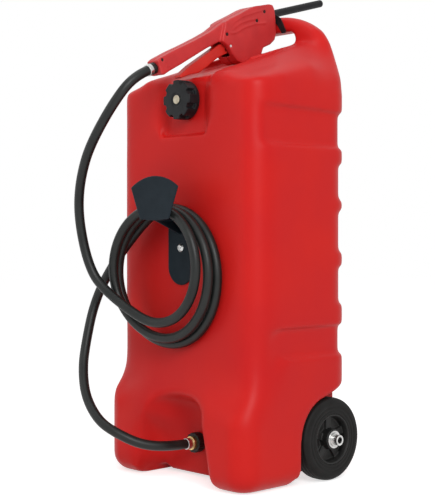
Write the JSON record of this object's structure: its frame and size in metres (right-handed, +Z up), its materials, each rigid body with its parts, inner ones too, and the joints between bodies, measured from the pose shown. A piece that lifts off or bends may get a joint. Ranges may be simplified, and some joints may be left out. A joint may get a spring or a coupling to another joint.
{
  "type": "diesel transfer tank",
  "caption": "Tall rolling fuel tank with a rear handle arch, hand pump nozzle, coiled hose on a hook, screw filler cap, front feet and side wheels.",
  "frame": {"origin": "on the floor under the middle of the outline without the hose, 20 mm behind the middle of the tank body", "axes": "+X along the wheel axle, -Y towards the front with the filler cap and the hose, +Z up"},
  "size_m": [0.417, 0.5379, 0.9322],
  "materials": {
    "tank_red": "satin moulded polyethylene",
    "nozzle_red": "satin moulded nylon",
    "lever_red": "satin moulded nylon",
    "cap_black": "fine moulded grain",
    "hook_black": "fine moulded grain",
    "black_plastic": "moulded",
    "spout_black": "satin black",
    "hose_rubber": "smooth extruded rubber",
    "rubber_black": "moulded rubber",
    "tyre_black": "semi-pneumatic tyre",
    "screw_black": "blackened",
    "zinc_steel": "zinc plated",
    "brass_parts": "machined",
    "cream_plastic": "moulded",
    "clear_tube": "drawn tube"
  },
  "bodies": {
    "tank": {"tank_shell": "tank_red", "hose_hook": "hook_black", "hook_screw": "zinc_steel", "hook_insert": "brass_parts", "outlet_gasket": "rubber_black", "outlet_nut": "black_plastic", "outlet_fitting": "brass_parts", "outlet_lock_nut": "black_plastic", "outlet_strainer": "black_plastic", "outlet_ferrule": "zinc_steel", "axle_tube": "zinc_steel", "axle_washers": "zinc_steel", "axle_push_nuts": "zinc_steel", "axle_spacers": "black_plastic", "hose_upper": "hose_rubber", "hose_coil": "hose_rubber", "hose_lower": "hose_rubber", "nozzle_shell_left": "nozzle_red", "nozzle_shell_right": "nozzle_red", "lever_pin": "zinc_steel", "nozzle_screws": "screw_black", "spout": "spout_black", "spout_collar": "spout_black", "spout_clip": "spout_black", "spout_elbow": "black_plastic", "hose_tail": "zinc_steel", "hose_collar": "black_plastic", "hose_crimp": "zinc_steel", "pump_cylinder": "black_plastic", "pump_spring": "zinc_steel", "valve_block": "black_plastic", "valve_balls": "zinc_steel", "inlet_tube": "clear_tube", "outlet_tube": "clear_tube"},
    "wheel_left": {"tyre_left": "tyre_black", "rim_left": "black_plastic"},
    "wheel_right": {"tyre_right": "tyre_black", "rim_right": "black_plastic"},
    "cap_core": {"cap_gasket": "rubber_black", "cap_vent_cage": "black_plastic", "cap_vent_seal": "rubber_black", "cap_vent_spring": "zinc_steel"},
    "cap": {"cap_shell": "cap_black", "cap_vent_disc": "cream_plastic"},
    "lever": {"nozzle_lever": "lever_red"},
    "piston": {"pump_piston": "black_plastic", "pump_seal": "rubber_black"}
  },
  "joints": [
    {"name": "wheel_left_spin", "type": "hinge", "parent": "tank", "child": "wheel_left", "pos_m": [0, 0.05206, 0.076], "axis": [1, 0, 0], "continuous": true},
    {"name": "wheel_right_spin", "type": "hinge", "parent": "tank", "child": "wheel_right", "pos_m": [0, 0.05206, 0.076], "axis": [1, 0, 0], "continuous": true},
    {"name": "cap_lift", "type": "slide", "parent": "tank", "child": "cap_core", "axis": [0, -1, 0], "range_m": [0, 0.018]},
    {"name": "cap_turn", "type": "hinge", "parent": "cap_core", "child": "cap", "pos_m": [0, -0.14994, 0.698], "axis": [0, -1, 0], "range_deg": [0, 1080]},
    {"name": "lever_squeeze", "type": "hinge", "parent": "tank", "child": "lever", "pos_m": [0, -0.04394, 0.806], "axis": [-1, 0, 0], "range_deg": [0, 7], "stiffness_Nm_per_rad": 3, "springref_deg": -5.73},
    {"name": "piston_stroke", "type": "slide", "parent": "tank", "child": "piston", "axis": [0, 0, -1], "range_m": [0, 0.00455], "deforming": ["pump_spring"]}
  ],
  "couplings": [
    {"joint": "cap_lift", "follows": "cap_turn", "m_per_rad": 0.0009549},
    {"joint": "piston_stroke", "follows": "lever_squeeze", "m_per_rad": 0.0372}
  ]
}
